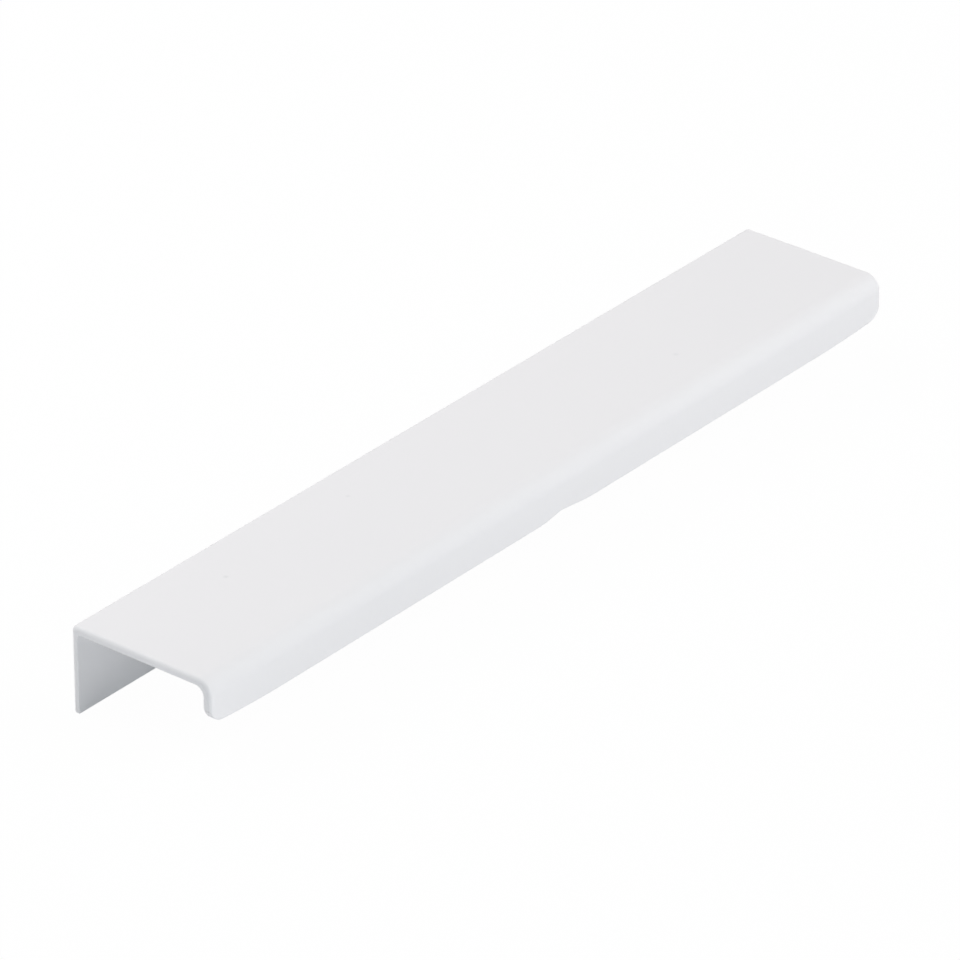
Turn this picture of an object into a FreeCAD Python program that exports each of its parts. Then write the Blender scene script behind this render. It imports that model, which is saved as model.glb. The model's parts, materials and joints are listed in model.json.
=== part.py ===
import FreeCAD, Part
import math
import os

from FreeCAD import Vector

# Lip pull for a drawer or cabinet door: one length of coated metal profile that hooks over
# the top edge of the front panel, screwed on from behind through its rear flange.
#
# X runs along the pull, -Y faces the room and +Z is up. The origin lies midway between
# the two screw holes, on the flange face that meets the rear of the panel.
# All sizes are millimetres.

# Profile
LENGTH = 200.0
DEPTH = 32.8
WALL = 1.5
FLANGE_HEIGHT = 18.0
LIP_HEIGHT = 9.5
FRONT_BEND_RADIUS = 3.4
REAR_CORNER_RADIUS = 0.9
REAR_FILLET_RADIUS = 0.5

# Ends and edges: the outer edges of both ends are rounded well over before coating, as far
# as the rear corner's arc lets the rounding run round it
ARC_CLEARANCE = 0.05
END_EDGE_RADIUS = REAR_CORNER_RADIUS - ARC_CLEARANCE
EDGE_RADIUS = 0.15
LIP_CORNER_RADIUS = 4.0

# The lip's lower edge rises slightly to both ends: a shoulder arc, a straight stretch and
# then the corner's arc
LIP_END_SLOPE_DEG = 4.035
LIP_END_STRAIGHT = 1.3
LIP_END_SHOULDER_RADIUS = 200.0

# Screw holes through the rear flange, countersunk from behind
HOLE_SPACING = 160.0
HOLE_DROP = 11.0
HOLE_RADIUS = 2.0
HOLE_LAND = 0.4
SINK_ANGLE = 90.0

# Shallow nick in the lip's lower edge, near mid-length
NICK_PLACE = 0.4
NICK_DEPTH = 0.8
NICK_LEFT_RUN = 5.3
NICK_RIGHT_RUN = 8.2
NICK_ROOT_RADIUS = 1.5
NICK_SHOULDER_RADIUS = 20.0

# How far a cutting shape reaches past the metal that it cuts
CUT_MARGIN = 1.0
# Length of lip that is left on until its lower edge is trimmed
TRIM_STOCK = 6.0
# The lip's corner arcs end this far past the ends, so that they meet the end faces at an edge
CORNER_OVERRUN = 0.05
# Two faces that turn less than this where they meet count as one smooth surface
SMOOTH_LIMIT_DEG = 20.0

REAR_Y = WALL
FRONT_Y = WALL - DEPTH
TOP_Z = HOLE_DROP
UNDERSIDE_Z = TOP_Z - WALL
FOOT_Z = TOP_Z - FLANGE_HEIGHT
LIP_Z = TOP_Z - LIP_HEIGHT
HALF_LENGTH = LENGTH / 2


def rounded_outline(corners):
    """Closed wire through (point, radius) corners, with a tangent arc at each radius."""
    starts = []
    ends = []
    arcs = []
    count = len(corners)
    for i, (point, radius) in enumerate(corners):
        back = (corners[i - 1][0] - point).normalize()
        ahead = (corners[(i + 1) % count][0] - point).normalize()
        half_turn = back.getAngle(ahead) / 2
        reach = radius / math.tan(half_turn)
        bisector = (back + ahead).normalize()
        centre = point + bisector * (radius / math.sin(half_turn))
        starts.append(point + back * reach)
        ends.append(point + ahead * reach)
        arcs.append((radius, centre - bisector * radius))
    edges = []
    for i, (radius, middle) in enumerate(arcs):
        if radius > 0:
            edges.append(Part.Arc(starts[i], middle, ends[i]).toShape())
        following = starts[(i + 1) % count]
        if ends[i].distanceToPoint(following) > 1e-7:
            edges.append(Part.LineSegment(ends[i], following).toShape())
    return Part.Wire(edges)


def profile_bar():
    """The bar as it comes off the line, cut square at both ends, its lip left long."""
    def at(y, z):
        return Vector(-HALF_LENGTH, y, z)

    stock_z = LIP_Z - TRIM_STOCK
    section = rounded_outline([
        (at(REAR_Y, FOOT_Z), 0),
        (at(REAR_Y, TOP_Z), REAR_CORNER_RADIUS),
        (at(FRONT_Y, TOP_Z), FRONT_BEND_RADIUS),
        (at(FRONT_Y, stock_z), 0),
        (at(FRONT_Y + WALL, stock_z), 0),
        (at(FRONT_Y + WALL, UNDERSIDE_Z), FRONT_BEND_RADIUS - WALL),
        (at(0, UNDERSIDE_Z), REAR_FILLET_RADIUS),
        (at(0, FOOT_Z), 0),
    ])
    return Part.Face(section).extrude(Vector(LENGTH, 0, 0))


def flat_at(edge, plane, axis):
    """Whether an edge lies in the plane at one value of x, y or z."""
    ends = [vertex.Point[axis] for vertex in edge.Vertexes]
    return all(abs(value - plane) < 1e-6 for value in ends)


def round_outer_end_edges(bar):
    """Rounds both ends' edges on the rear, top and front; the fillet runs on round the bends."""
    outer = []
    for edge in bar.Edges:
        at_end = flat_at(edge, -HALF_LENGTH, 0) or flat_at(edge, HALF_LENGTH, 0)
        outside = flat_at(edge, REAR_Y, 1) or flat_at(edge, TOP_Z, 2) or flat_at(edge, FRONT_Y, 1)
        if at_end and outside:
            outer.append(edge)
    return bar.makeFillet(END_EDGE_RADIUS, outer)


def lip_end_slant():
    """Run and rise of the lip's slanted edge at an end, long enough for the arcs at both its ends."""
    slope = math.radians(LIP_END_SLOPE_DEG)
    shoulder_reach = LIP_END_SHOULDER_RADIUS * math.tan(slope / 2)
    corner_reach = LIP_CORNER_RADIUS * math.tan((math.pi / 2 - slope) / 2)
    slant = shoulder_reach + LIP_END_STRAIGHT + corner_reach
    return slant * math.cos(slope), slant * math.sin(slope)


def lip_trimmer():
    """Prism that trims the lip: its corners, a slight rise of its edge to both ends, and the nick."""
    def at(x, z):
        return Vector(x, FRONT_Y - CUT_MARGIN, LIP_Z + z)

    run, rise = lip_end_slant()
    beyond = HALF_LENGTH + CUT_MARGIN
    corner_x = HALF_LENGTH + CORNER_OVERRUN
    shoulder_x = corner_x - run
    corner_top = rise + 1.1 * LIP_CORNER_RADIUS
    below = -TRIM_STOCK - CUT_MARGIN
    outline = rounded_outline([
        (at(-beyond, below), 0),
        (at(-beyond, corner_top), 0),
        (at(-corner_x, corner_top), 0),
        (at(-corner_x, rise), LIP_CORNER_RADIUS),
        (at(-shoulder_x, 0), LIP_END_SHOULDER_RADIUS),
        (at(NICK_PLACE - NICK_LEFT_RUN, 0), NICK_SHOULDER_RADIUS),
        (at(NICK_PLACE, NICK_DEPTH), NICK_ROOT_RADIUS),
        (at(NICK_PLACE + NICK_RIGHT_RUN, 0), NICK_SHOULDER_RADIUS),
        (at(shoulder_x, 0), LIP_END_SHOULDER_RADIUS),
        (at(corner_x, rise), LIP_CORNER_RADIUS),
        (at(corner_x, corner_top), 0),
        (at(beyond, corner_top), 0),
        (at(beyond, below), 0),
    ])
    return Part.Face(outline).extrude(Vector(0, WALL + 2 * CUT_MARGIN, 0))


def face_normal(face, point):
    """Outward normal of a face at the place nearest to a point."""
    u, v = face.Surface.parameter(point)
    return face.normalAt(u, v)


def sharp_edges(solid):
    """Edges where two faces meet at a real angle, in either direction."""
    found = []
    for edge in solid.Edges:
        faces = solid.ancestorsOfType(edge, Part.Face)
        if len(faces) != 2:
            continue
        middle = edge.valueAt((edge.FirstParameter + edge.LastParameter) / 2)
        first, second = (face_normal(face, middle) for face in faces)
        if math.degrees(first.getAngle(second)) > SMOOTH_LIMIT_DEG:
            found.append(edge)
    return found


def soften_edges(bar):
    """The coat's soft edge on every edge that is still sharp."""
    return bar.makeFillet(EDGE_RADIUS, sharp_edges(bar))


def screw_hole_cutter(x):
    """One screw hole with its countersink, which opens towards the rear face."""
    hole = Part.makeCylinder(
        HOLE_RADIUS, WALL + 2 * CUT_MARGIN, Vector(x, -CUT_MARGIN, 0), Vector(0, 1, 0)
    )
    sink_depth = WALL - HOLE_LAND + CUT_MARGIN
    mouth_radius = HOLE_RADIUS + sink_depth * math.tan(math.radians(SINK_ANGLE / 2))
    sink = Part.makeCone(
        HOLE_RADIUS, mouth_radius, sink_depth, Vector(x, HOLE_LAND, 0), Vector(0, 1, 0)
    )
    return hole.fuse(sink)


def lip_pull():
    bar = round_outer_end_edges(profile_bar())
    bar = bar.cut(lip_trimmer()).removeSplitter()
    bar = soften_edges(bar)
    for x in (-HOLE_SPACING / 2, HOLE_SPACING / 2):
        bar = bar.cut(screw_hole_cutter(x))
    return bar


os.makedirs("parts", exist_ok=True)
pull = lip_pull()
pull.Solids[0].exportStep("parts/lip_pull.step")
print("lip_pull", len(pull.Solids), "solid", round(pull.Volume, 1), "mm3, valid", pull.isValid())
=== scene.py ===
import json
import math

import bmesh
import bpy
from mathutils import Matrix, Vector


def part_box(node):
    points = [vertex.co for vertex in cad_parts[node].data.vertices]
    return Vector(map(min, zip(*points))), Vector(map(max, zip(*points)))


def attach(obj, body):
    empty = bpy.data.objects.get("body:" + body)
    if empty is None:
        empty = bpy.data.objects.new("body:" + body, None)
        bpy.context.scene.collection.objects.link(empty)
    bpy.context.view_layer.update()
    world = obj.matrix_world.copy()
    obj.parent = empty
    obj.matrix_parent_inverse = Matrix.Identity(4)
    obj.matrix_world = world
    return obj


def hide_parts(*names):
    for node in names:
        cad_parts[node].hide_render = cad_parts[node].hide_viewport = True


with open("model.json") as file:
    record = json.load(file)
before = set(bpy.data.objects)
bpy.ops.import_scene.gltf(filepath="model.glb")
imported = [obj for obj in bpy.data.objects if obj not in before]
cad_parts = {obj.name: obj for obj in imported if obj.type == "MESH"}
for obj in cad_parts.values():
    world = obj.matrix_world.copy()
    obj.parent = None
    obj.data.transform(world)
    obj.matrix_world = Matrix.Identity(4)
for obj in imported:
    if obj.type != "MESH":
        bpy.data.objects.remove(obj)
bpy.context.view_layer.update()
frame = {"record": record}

# Lip pull: one length of aluminium profile with a white powder coat, on a pale floor.
# Meshes are drawn in millimetres and turned into metres once, as each piece is finished.
MM = 0.001

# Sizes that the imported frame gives
NODE = "lip_pull"
LOW, HIGH = (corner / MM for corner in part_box(NODE))
MOUNTS = {mount["name"]: mount for mount in frame["record"]["mounts"]}
HALF_LENGTH = HIGH.x
FRONT_Y, REAR_Y = LOW.y, HIGH.y
TOP_Z, FOOT_Z = HIGH.z, LOW.z
UNDERSIDE_Z = MOUNTS["plate_seat"]["pos_m"][2] / MM
WALL = TOP_Z - UNDERSIDE_Z
HOLE_RADIUS = MOUNTS["screw_holes"]["dims"]["hole_r_mm"]
HOLE_SPACING = MOUNTS["screw_holes"]["dims"]["spacing_x_mm"]

# Sizes that the frame doesn't give, in millimetres
LIP_HEIGHT = 9.5
FRONT_BEND_RADIUS = 3.4
REAR_CORNER_RADIUS = 0.9
REAR_FILLET_RADIUS = 0.5
END_EDGE_RADIUS = 0.85
EDGE_RADIUS = 0.15
HOLE_LAND = 0.4
HOLE_EDGE_RADIUS = 0.1
LIP_Z = TOP_Z - LIP_HEIGHT
EVEN_HALF = HALF_LENGTH - END_EDGE_RADIUS

# The lip is drawn long and then trimmed to its lower edge, which rises a little to both ends,
# turns into the end corners and has a shallow nick near mid-length
TRIM_STOCK = 6.0
TRIM_MARGIN = 1.0
CORNER_OVERRUN = 0.05
LIP_CORNER_RADIUS = 4.0
LIP_END_RISE = 0.85
LIP_END_RUN = 12.0
LIP_END_SHOULDER_RADIUS = 200.0
NICK_PLACE = 0.4
NICK_DEPTH = 0.8
NICK_LEFT_RUN = 5.3
NICK_RIGHT_RUN = 8.2
NICK_ROOT_RADIUS = 1.5
NICK_SHOULDER_RADIUS = 20.0

# The corners of that edge from end to end: place along X, height and radius
LIP_EDGE = (
    (-HALF_LENGTH - CORNER_OVERRUN, LIP_END_RISE, LIP_CORNER_RADIUS),
    (LIP_END_RUN - HALF_LENGTH, 0.0, LIP_END_SHOULDER_RADIUS),
    (NICK_PLACE - NICK_LEFT_RUN, 0.0, NICK_SHOULDER_RADIUS),
    (NICK_PLACE, NICK_DEPTH, NICK_ROOT_RADIUS),
    (NICK_PLACE + NICK_RIGHT_RUN, 0.0, NICK_SHOULDER_RADIUS),
    (HALF_LENGTH - LIP_END_RUN, 0.0, LIP_END_SHOULDER_RADIUS),
    (HALF_LENGTH + CORNER_OVERRUN, LIP_END_RISE, LIP_CORNER_RADIUS),
)

# How finely the round stretches are cut
BEND_STEPS = 24
SMALL_STEPS = 8
EDGE_STEPS = 4
HOLE_STEPS = 72
SHARP_ANGLE = math.radians(25)
FLAT_ANGLE = 1e-3

# Points nearer to each other than this, in millimetres, are one
TOUCH = 1e-4

# Specks of dust under the coat, on the plate: x, y and radius in millimetres, and how much
# of their tone shows at the middle
SPECKS = ((-69.2, -8.75, 0.75, 0.68), (-32.3, -6.8, 0.68, 0.48), (49.45, -20.05, 0.95, 0.36))


# The profile's mesh

def mesh_object(name, bm):
    """A new object in the scene from a bmesh, which is freed."""
    mesh = bpy.data.meshes.new(name)
    bm.to_mesh(mesh)
    bm.free()
    made = bpy.data.objects.new(name, mesh)
    bpy.context.scene.collection.objects.link(made)
    return made


def profile_section(bm):
    """The eight sharp corners of the section, its lip long, as one face at the near end."""
    stock_z = LIP_Z - TRIM_STOCK
    corners = (
        (REAR_Y, FOOT_Z),
        (REAR_Y, TOP_Z),
        (FRONT_Y, TOP_Z),
        (FRONT_Y, stock_z),
        (FRONT_Y + WALL, stock_z),
        (FRONT_Y + WALL, UNDERSIDE_Z),
        (0.0, UNDERSIDE_Z),
        (0.0, FOOT_Z),
    )
    return bm.faces.new([bm.verts.new((-EVEN_HALF, y, z)) for y, z in corners])


def extrude_along(bm, face, way):
    """Draws a face out into a solid."""
    made = bmesh.ops.extrude_face_region(bm, geom=[face], use_keep_orig=True)
    moved = [item for item in made["geom"] if isinstance(item, bmesh.types.BMVert)]
    bmesh.ops.translate(bm, verts=moved, vec=way)
    bmesh.ops.recalc_face_normals(bm, faces=bm.faces)


def edges_along_x(bm, y, z):
    """The edges that run along the pull at one place of its section."""
    def at(vert):
        return math.hypot(vert.co.y - y, vert.co.z - z) < TOUCH

    return [edge for edge in bm.edges if at(edge.verts[0]) and at(edge.verts[1])]


def edge_across(bm, x, z):
    """The edge that runs along Y at one place."""
    def at(vert):
        return math.hypot(vert.co.x - x, vert.co.z - z) < TOUCH

    return next(edge for edge in bm.edges if at(edge.verts[0]) and at(edge.verts[1]))


def sharp_edges(bm):
    """The edges where two faces meet at a real angle."""
    return [
        edge for edge in bm.edges
        if len(edge.link_faces) == 2 and edge.calc_face_angle() > SHARP_ANGLE
    ]


def round_off(bm, edges, radius, steps):
    """Rounds edges to an arc: the offset is the arc's tangent length at the first edge."""
    tangent_length = radius * math.tan(edges[0].calc_face_angle() / 2)
    bmesh.ops.bevel(
        bm,
        geom=edges,
        offset=tangent_length,
        offset_type="OFFSET",
        segments=steps,
        profile=0.5,
        affect="EDGES",
        clamp_overlap=False,
        material=-1,
    )


def round_bends(bm):
    """The bend to the lip and the rear corner, inside and outside."""
    for y, z, radius, steps in (
        (FRONT_Y, TOP_Z, FRONT_BEND_RADIUS, BEND_STEPS),
        (FRONT_Y + WALL, UNDERSIDE_Z, FRONT_BEND_RADIUS - WALL, BEND_STEPS),
        (REAR_Y, TOP_Z, REAR_CORNER_RADIUS, SMALL_STEPS),
        (0.0, UNDERSIDE_Z, REAR_FILLET_RADIUS, SMALL_STEPS),
    ):
        round_off(bm, edges_along_x(bm, y, z), radius, steps)


def under_skin(point):
    """How deep a point lies under the profile's outer skin, and the way out to it."""
    for centre_y, side, radius in (
        (FRONT_Y + FRONT_BEND_RADIUS, -1, FRONT_BEND_RADIUS),
        (REAR_Y - REAR_CORNER_RADIUS, 1, REAR_CORNER_RADIUS),
    ):
        away = Vector((0, point.y - centre_y, point.z - TOP_Z + radius))
        if away.y * side > -1e-5 and away.z > -1e-5:
            return radius - away.length, away.normalized()
    return min(
        (point.y - FRONT_Y, Vector((0, -1, 0))),
        (TOP_Z - point.z, Vector((0, 0, 1))),
        (REAR_Y - point.y, Vector((0, 1, 0))),
        key=lambda pair: pair[0],
    )


def round_outer_end_edges(bm):
    """Draws both ends out to the full length in steps, the outer skin sinking in along an arc."""
    inner_depth = 0.8 * WALL
    for side in (-1, 1):
        face = next(face for face in bm.faces if face.normal.x * side > 0.99)
        for step in range(SMALL_STEPS):
            begin, end = (math.pi / 2 * n / SMALL_STEPS for n in (step, step + 1))
            advance = END_EDGE_RADIUS * (math.sin(end) - math.sin(begin))
            sink = END_EDGE_RADIUS * (math.cos(begin) - math.cos(end))
            made = bmesh.ops.extrude_face_region(bm, geom=[face])["geom"]
            bmesh.ops.delete(bm, geom=[face], context="FACES_ONLY")
            face = next(item for item in made if isinstance(item, bmesh.types.BMFace))
            for vert in face.verts:
                depth, out = under_skin(vert.co)
                vert.co.x += side * advance
                if depth < inner_depth:
                    vert.co -= out * sink
    bmesh.ops.recalc_face_normals(bm, faces=bm.faces)
    flat = [edge for edge in bm.edges if edge.calc_face_angle() < FLAT_ANGLE]
    bmesh.ops.dissolve_edges(bm, edges=flat, use_verts=True)


def lip_trimmer():
    """Prism that trims the lip: its corners, a slight rise of its edge to both ends, and the nick."""
    first_x, last_x = LIP_EDGE[0][0], LIP_EDGE[-1][0]
    beyond = HALF_LENGTH + TRIM_MARGIN
    above_corner = LIP_END_RISE + 1.1 * LIP_CORNER_RADIUS
    below = -TRIM_STOCK - TRIM_MARGIN
    outline = (
        (-beyond, below),
        (-beyond, above_corner),
        (first_x, above_corner),
        *((x, height) for x, height, radius in LIP_EDGE),
        (last_x, above_corner),
        (beyond, above_corner),
        (beyond, below),
    )
    bm = bmesh.new()
    points = [bm.verts.new((x, FRONT_Y - TRIM_MARGIN, LIP_Z + height)) for x, height in outline]
    extrude_along(bm, bm.faces.new(points), (0, WALL + 2 * TRIM_MARGIN, 0))
    corners = [(edge_across(bm, x, LIP_Z + height), radius) for x, height, radius in LIP_EDGE]
    for edge, radius in corners:
        round_off(bm, [edge], radius, BEND_STEPS if radius == LIP_CORNER_RADIUS else SMALL_STEPS)
    return bm


def countersunk_drill(x):
    """The shape of one screw hole with its 90 degree sink, turned round its axis."""
    beyond = 2 * WALL
    mouth = HOLE_RADIUS + beyond - HOLE_LAND
    outline = (
        (0.0, -WALL),
        (HOLE_RADIUS, -WALL),
        (HOLE_RADIUS, HOLE_LAND),
        (mouth, beyond),
        (0.0, beyond),
    )
    bm = bmesh.new()
    points = [bm.verts.new((x + radius, y, 0)) for radius, y in outline]
    edges = [bm.edges.new(pair) for pair in zip(points, points[1:])]
    bmesh.ops.spin(
        bm,
        geom=points + edges,
        cent=(x, 0, 0),
        axis=(0, 1, 0),
        angle=2 * math.pi,
        steps=HOLE_STEPS,
        use_merge=True,
    )
    bmesh.ops.remove_doubles(bm, verts=bm.verts, dist=TOUCH)
    bmesh.ops.recalc_face_normals(bm, faces=bm.faces)
    return bm


def cut_away(bm, tools):
    """Takes the tools' shapes out of a solid and returns what is left."""
    solid = mesh_object("solid", bm)
    cutters = [mesh_object("cutter", tool) for tool in tools]
    for cutter in cutters:
        cut = solid.modifiers.new("cut", "BOOLEAN")
        cut.operation = "DIFFERENCE"
        cut.solver = "EXACT"
        cut.object = cutter
    left = bpy.data.meshes.new_from_object(
        solid.evaluated_get(bpy.context.evaluated_depsgraph_get())
    )
    bm = bmesh.new()
    bm.from_mesh(left)
    for made in (solid, *cutters):
        bpy.data.objects.remove(made)
    return bm


def at_a_hole(edge):
    """Whether an edge belongs to a screw hole, by its distance from the nearer hole's axis."""
    reach = HOLE_RADIUS + WALL
    return all(
        math.hypot(abs(vert.co.x) - HOLE_SPACING / 2, vert.co.z) < reach for vert in edge.verts
    )


def coated_profile():
    """The whole pull, with every edge softened by its coat."""
    bm = bmesh.new()
    extrude_along(bm, profile_section(bm), (2 * EVEN_HALF, 0, 0))
    round_bends(bm)
    round_outer_end_edges(bm)
    bm = cut_away(bm, [lip_trimmer()])
    round_off(bm, sharp_edges(bm), EDGE_RADIUS, EDGE_STEPS)
    bm = cut_away(bm, [countersunk_drill(x) for x in (-HOLE_SPACING / 2, HOLE_SPACING / 2)])
    rims = [edge for edge in sharp_edges(bm) if at_a_hole(edge)]
    round_off(bm, rims, HOLE_EDGE_RADIUS, EDGE_STEPS)
    bmesh.ops.remove_doubles(bm, verts=bm.verts, dist=TOUCH)
    bmesh.ops.recalc_face_normals(bm, faces=bm.faces)
    bmesh.ops.scale(bm, verts=bm.verts, vec=(MM, MM, MM))
    for face in bm.faces:
        face.smooth = True
    pull = mesh_object("coated_lip_pull", bm)
    weighted = pull.modifiers.new("flat_faces", "WEIGHTED_NORMAL")
    weighted.mode = "FACE_AREA"
    weighted.weight = 100
    return pull


# Materials

COAT_TONES = ((0.814, 0.804, 0.816, 1), (0.830, 0.818, 0.828, 1))
SPECK_TONE = (0.70, 0.70, 0.71, 1)
FLOOR_COLOUR = (0.86, 0.86, 0.87, 1)
FLOOR_WHITENESS = 0.98
WHITE = (1, 1, 1, 1)


def link(tree, source, target):
    tree.links.new(source, target)


def node(tree, kind, **values):
    """A node with its settings and its unlinked input values."""
    made = tree.nodes.new(kind)
    for name, value in values.items():
        if hasattr(made, name):
            setattr(made, name, value)
        else:
            made.inputs[name.replace("_", " ")].default_value = value
    return made


def speck(tree, place, colour, centre, radius, tint):
    """Darkens the coat a little round one point, fading to its rim."""
    away = node(tree, "ShaderNodeVectorMath", operation="DISTANCE")
    link(tree, place, away.inputs[0])
    away.inputs[1].default_value = centre
    fade = node(
        tree, "ShaderNodeMapRange", interpolation_type="SMOOTHSTEP",
        From_Min=0.0, From_Max=radius, To_Min=tint, To_Max=0.0,
    )
    link(tree, away.outputs["Value"], fade.inputs["Value"])
    blend = node(tree, "ShaderNodeMix", data_type="RGBA")
    blend.inputs["B"].default_value = SPECK_TONE
    link(tree, fade.outputs["Result"], blend.inputs["Factor"])
    link(tree, colour, blend.inputs["A"])
    return blend.outputs["Result"]


def powder_coat():
    """White satin powder coat: a faint orange peel, fine grain and slow drifts of tone."""
    material = bpy.data.materials.new("white_powder_coat")
    material.use_nodes = True
    tree = material.node_tree
    shader = tree.nodes["Principled BSDF"]
    shader.inputs["Specular IOR Level"].default_value = 0.38
    place = node(tree, "ShaderNodeTexCoord").outputs["Object"]

    drift = node(tree, "ShaderNodeTexNoise", Scale=28.0, Detail=3.0, Roughness=0.5)
    link(tree, place, drift.inputs["Vector"])
    tone = node(tree, "ShaderNodeMix", data_type="RGBA")
    tone.inputs["A"].default_value, tone.inputs["B"].default_value = COAT_TONES
    link(tree, drift.outputs["Fac"], tone.inputs["Factor"])
    colour = tone.outputs["Result"]
    for x, y, radius, tint in SPECKS:
        colour = speck(tree, place, colour, Vector((x, y, TOP_Z)) * MM, radius * MM, tint)
    link(tree, colour, shader.inputs["Base Color"])

    grain = node(tree, "ShaderNodeTexNoise", Scale=2600.0, Detail=2.0, Roughness=0.6)
    link(tree, place, grain.inputs["Vector"])
    rough = node(tree, "ShaderNodeMapRange", To_Min=0.50, To_Max=0.60)
    link(tree, grain.outputs["Fac"], rough.inputs["Value"])
    link(tree, rough.outputs["Result"], shader.inputs["Roughness"])

    peel = node(tree, "ShaderNodeTexNoise", Scale=700.0, Detail=1.0, Roughness=0.4)
    link(tree, place, peel.inputs["Vector"])
    fine = node(tree, "ShaderNodeBump", Strength=0.35, Distance=0.000006)
    link(tree, grain.outputs["Fac"], fine.inputs["Height"])
    coarse = node(tree, "ShaderNodeBump", Strength=0.5, Distance=0.00002)
    link(tree, peel.outputs["Fac"], coarse.inputs["Height"])
    link(tree, fine.outputs["Normal"], coarse.inputs["Normal"])
    link(tree, coarse.outputs["Normal"], shader.inputs["Normal"])
    return material


def seen_directly(tree):
    """1 for rays from the camera, for mirror reflections and for rays through glass."""
    path = node(tree, "ShaderNodeLightPath")
    either = node(tree, "ShaderNodeMath", operation="MAXIMUM")
    link(tree, path.outputs["Is Camera Ray"], either.inputs[0])
    link(tree, path.outputs["Is Glossy Ray"], either.inputs[1])
    any_of = node(tree, "ShaderNodeMath", operation="MAXIMUM")
    link(tree, either.outputs["Value"], any_of.inputs[0])
    link(tree, path.outputs["Is Transmission Ray"], any_of.inputs[1])
    return any_of.outputs["Value"]


def floor_paper():
    """Pale matt floor that looks almost white, and still takes the pull's soft shadow."""
    material = bpy.data.materials.new("pale_floor")
    material.use_nodes = True
    tree = material.node_tree
    tree.nodes.remove(tree.nodes["Principled BSDF"])
    paper = node(tree, "ShaderNodeBsdfDiffuse", Color=FLOOR_COLOUR)
    white = node(tree, "ShaderNodeEmission", Color=WHITE, Strength=1.0)
    share = node(tree, "ShaderNodeMath", operation="MULTIPLY")
    link(tree, seen_directly(tree), share.inputs[0])
    share.inputs[1].default_value = FLOOR_WHITENESS
    mix = node(tree, "ShaderNodeMixShader")
    link(tree, share.outputs["Value"], mix.inputs["Fac"])
    link(tree, paper.outputs["BSDF"], mix.inputs[1])
    link(tree, white.outputs["Emission"], mix.inputs[2])
    link(tree, mix.outputs["Shader"], tree.nodes["Material Output"].inputs["Surface"])
    return material


# The stage, in metres and watts

FLOOR_HALF = 4.0
FLOOR_GAP = 0.00005
SKY_STRENGTH = 0.10

# Soft boxes: name, azimuth and elevation in degrees, distance, side, power and colour
SOFT_BOXES = (
    ("soft_box_right", 37.0, 40.0, 1.6, 1.1, 16.5, (1.0, 1.0, 1.0)),
    ("soft_box_behind", -157.5, 40.0, 0.8, 0.55, 3.8, (1.0, 1.0, 1.0)),
    ("soft_box_over", 180.0, 60.0, 1.0, 0.6, 1.45, (1.0, 1.0, 1.0)),
    ("soft_box_low", -45.0, 15.0, 1.6, 0.7, 6.8, (0.91, 1.01, 1.05)),
    ("soft_box_far_end", 67.5, 15.0, 1.6, 0.7, 1.6, (1.0, 1.0, 1.0)),
)


def lay_floor():
    bm = bmesh.new()
    level = FOOT_Z * MM - FLOOR_GAP
    bmesh.ops.create_grid(
        bm, x_segments=1, y_segments=1, size=FLOOR_HALF, matrix=Matrix.Translation((0, 0, level))
    )
    floor = mesh_object("floor", bm)
    floor.data.materials.append(floor_paper())


def light_sky():
    """Even soft light from all round, and white where it is seen."""
    world = bpy.data.worlds.new("studio")
    bpy.context.scene.world = world
    world.use_nodes = True
    tree = world.node_tree
    sky = tree.nodes["Background"]
    sky.inputs["Color"].default_value = WHITE
    sky.inputs["Strength"].default_value = SKY_STRENGTH
    white = node(tree, "ShaderNodeBackground", Color=WHITE, Strength=1.0)
    mix = node(tree, "ShaderNodeMixShader")
    link(tree, seen_directly(tree), mix.inputs["Fac"])
    link(tree, sky.outputs["Background"], mix.inputs[1])
    link(tree, white.outputs["Background"], mix.inputs[2])
    link(tree, mix.outputs["Shader"], tree.nodes["World Output"].inputs["Surface"])


def direction(azimuth, elevation):
    """Unit vector from the pull; azimuth 0 is in front of it and -90 off its near end."""
    a, e = math.radians(azimuth), math.radians(elevation)
    return Vector((math.sin(a) * math.cos(e), -math.cos(a) * math.cos(e), math.sin(e)))


def hang_soft_boxes():
    for name, azimuth, elevation, distance, side, power, colour in SOFT_BOXES:
        lamp = bpy.data.lights.new(name, "AREA")
        lamp.shape = "SQUARE"
        lamp.size = side
        lamp.energy = power
        lamp.color = colour
        box = bpy.data.objects.new(name, lamp)
        towards = direction(azimuth, elevation)
        box.location = towards * distance
        box.rotation_euler = towards.to_track_quat("Z", "Y").to_euler()
        bpy.context.scene.collection.objects.link(box)


# The camera, as the photograph was taken: a long lens from the near end, above the front.
# Angles in degrees, the rest in millimetres
CAMERA_AZIMUTH = -50.883
CAMERA_ELEVATION = 29.133
CAMERA_ROLL = -0.129
CAMERA_DISTANCE = 1526.95
CAMERA_AIM = Vector((2.142, -10.278, 0.684))
CAMERA_LENS = 304.504
CAMERA_SENSOR = 36.0


def set_camera():
    data = bpy.data.cameras.new("camera")
    data.sensor_width = CAMERA_SENSOR
    data.lens = CAMERA_LENS
    data.clip_start, data.clip_end = 0.01, 50.0
    camera = bpy.data.objects.new("camera", data)
    towards = direction(CAMERA_AZIMUTH, CAMERA_ELEVATION)
    camera.location = (CAMERA_AIM + towards * CAMERA_DISTANCE) * MM
    turned = towards.to_track_quat("Z", "Y").to_matrix().to_4x4()
    roll = Matrix.Rotation(math.radians(CAMERA_ROLL), 4, "Z")
    camera.rotation_euler = (turned @ roll).to_euler()
    bpy.context.scene.collection.objects.link(camera)
    bpy.context.scene.camera = camera


pull = coated_profile()
pull.data.materials.append(powder_coat())
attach(pull, "root")
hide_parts(NODE)

lay_floor()
light_sky()
hang_soft_boxes()
set_camera()
bpy.context.scene.view_settings.view_transform = "Standard"
